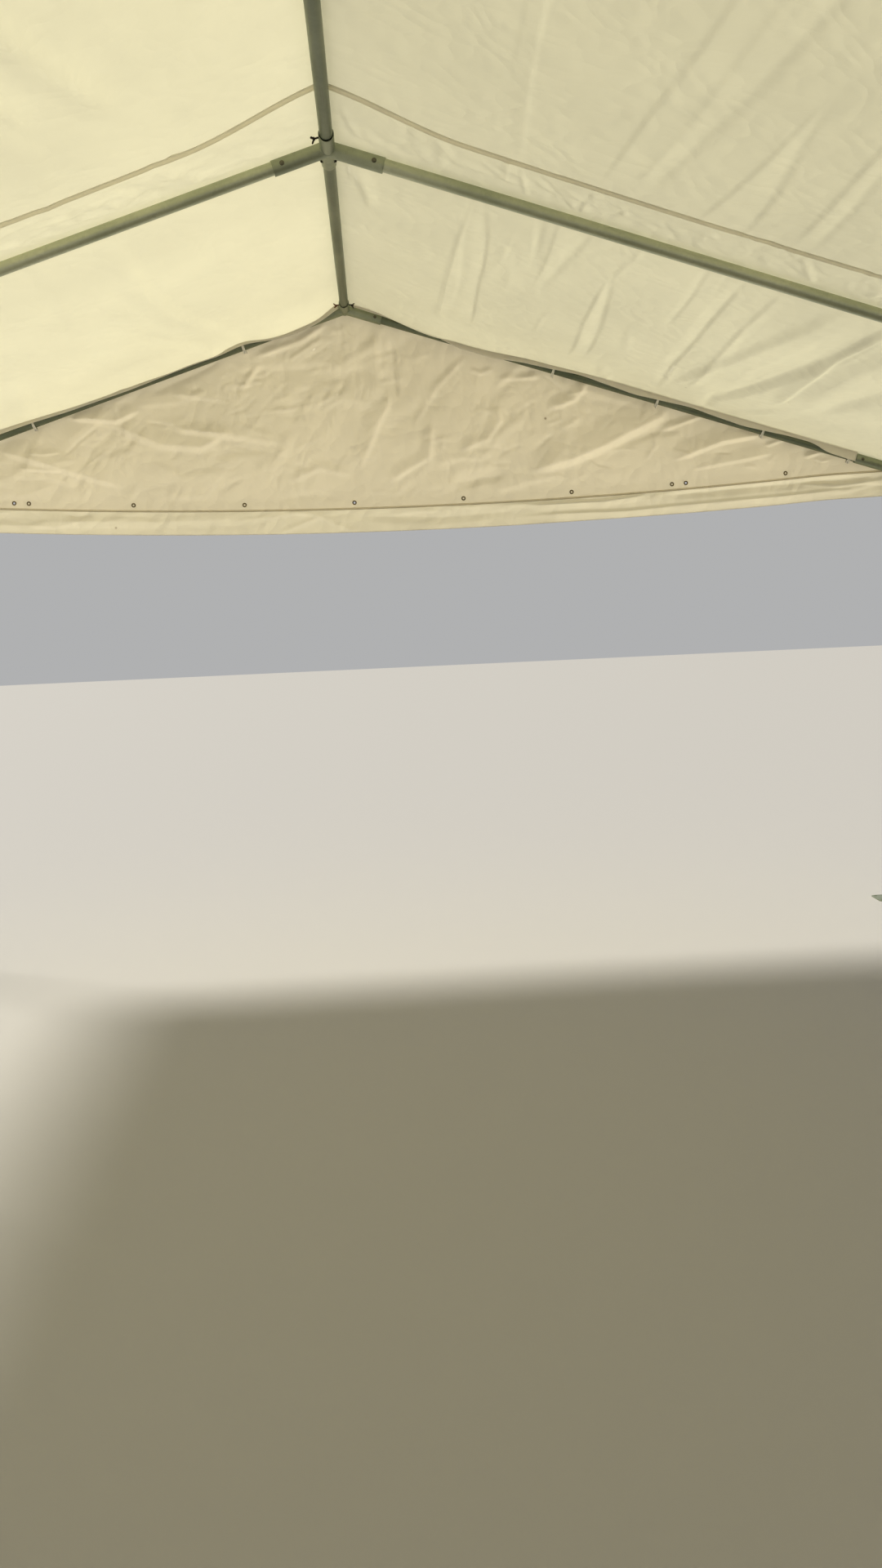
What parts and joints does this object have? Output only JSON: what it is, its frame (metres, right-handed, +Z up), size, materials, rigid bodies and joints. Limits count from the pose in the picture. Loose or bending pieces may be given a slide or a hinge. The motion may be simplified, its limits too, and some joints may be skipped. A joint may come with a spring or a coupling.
{
  "type": "ceremony tent",
  "caption": "Open-sided gabled ceremony tent: a bolted frame of round steel tubes in sockets on peg-down feet, under a taut coated-fabric roof with gable ends and a short valance all round.",
  "frame": {"origin": "on the ground under the middle of the ridge, the centre of the footprint", "axes": "+Y along the ridge towards the gable that the picture shows, +X across to its right-hand eave, +Z up"},
  "size_m": [5.0822, 6.12, 2.8531],
  "materials": {
    "galvanised_tube": "dull hot-dip galvanised",
    "galvanised_socket": "dull galvanised, welded",
    "coated_fabric": "matt coated fabric, translucent"
  },
  "bodies": {
    "root": {"base_plate_left_1": "galvanised_socket", "base_plate_left_2": "galvanised_socket", "base_plate_left_3": "galvanised_socket", "base_plate_left_4": "galvanised_socket", "base_plate_right_1": "galvanised_socket", "base_plate_right_2": "galvanised_socket", "base_plate_right_3": "galvanised_socket", "base_plate_right_4": "galvanised_socket", "eave_joint_left_1": "galvanised_socket", "eave_joint_left_2": "galvanised_socket", "eave_joint_left_3": "galvanised_socket", "eave_joint_left_4": "galvanised_socket", "eave_joint_right_1": "galvanised_socket", "eave_joint_right_2": "galvanised_socket", "eave_joint_right_3": "galvanised_socket", "eave_joint_right_4": "galvanised_socket", "eave_tube_left_1": "galvanised_tube", "eave_tube_left_2": "galvanised_tube", "eave_tube_left_3": "galvanised_tube", "eave_tube_right_1": "galvanised_tube", "eave_tube_right_2": "galvanised_tube", "eave_tube_right_3": "galvanised_tube", "gable_panel_back": "coated_fabric", "gable_panel_front": "coated_fabric", "post_left_1": "galvanised_tube", "post_left_2": "galvanised_tube", "post_left_3": "galvanised_tube", "post_left_4": "galvanised_tube", "post_right_1": "galvanised_tube", "post_right_2": "galvanised_tube", "post_right_3": "galvanised_tube", "post_right_4": "galvanised_tube", "rafter_left_1": "galvanised_tube", "rafter_left_2": "galvanised_tube", "rafter_left_3": "galvanised_tube", "rafter_left_4": "galvanised_tube", "rafter_right_1": "galvanised_tube", "rafter_right_2": "galvanised_tube", "rafter_right_3": "galvanised_tube", "rafter_right_4": "galvanised_tube", "ridge_joint_1": "galvanised_socket", "ridge_joint_2": "galvanised_socket", "ridge_joint_3": "galvanised_socket", "ridge_joint_4": "galvanised_socket", "ridge_tube_1": "galvanised_tube", "ridge_tube_2": "galvanised_tube", "ridge_tube_3": "galvanised_tube", "roof_cover": "coated_fabric"}
  },
  "joints": []
}
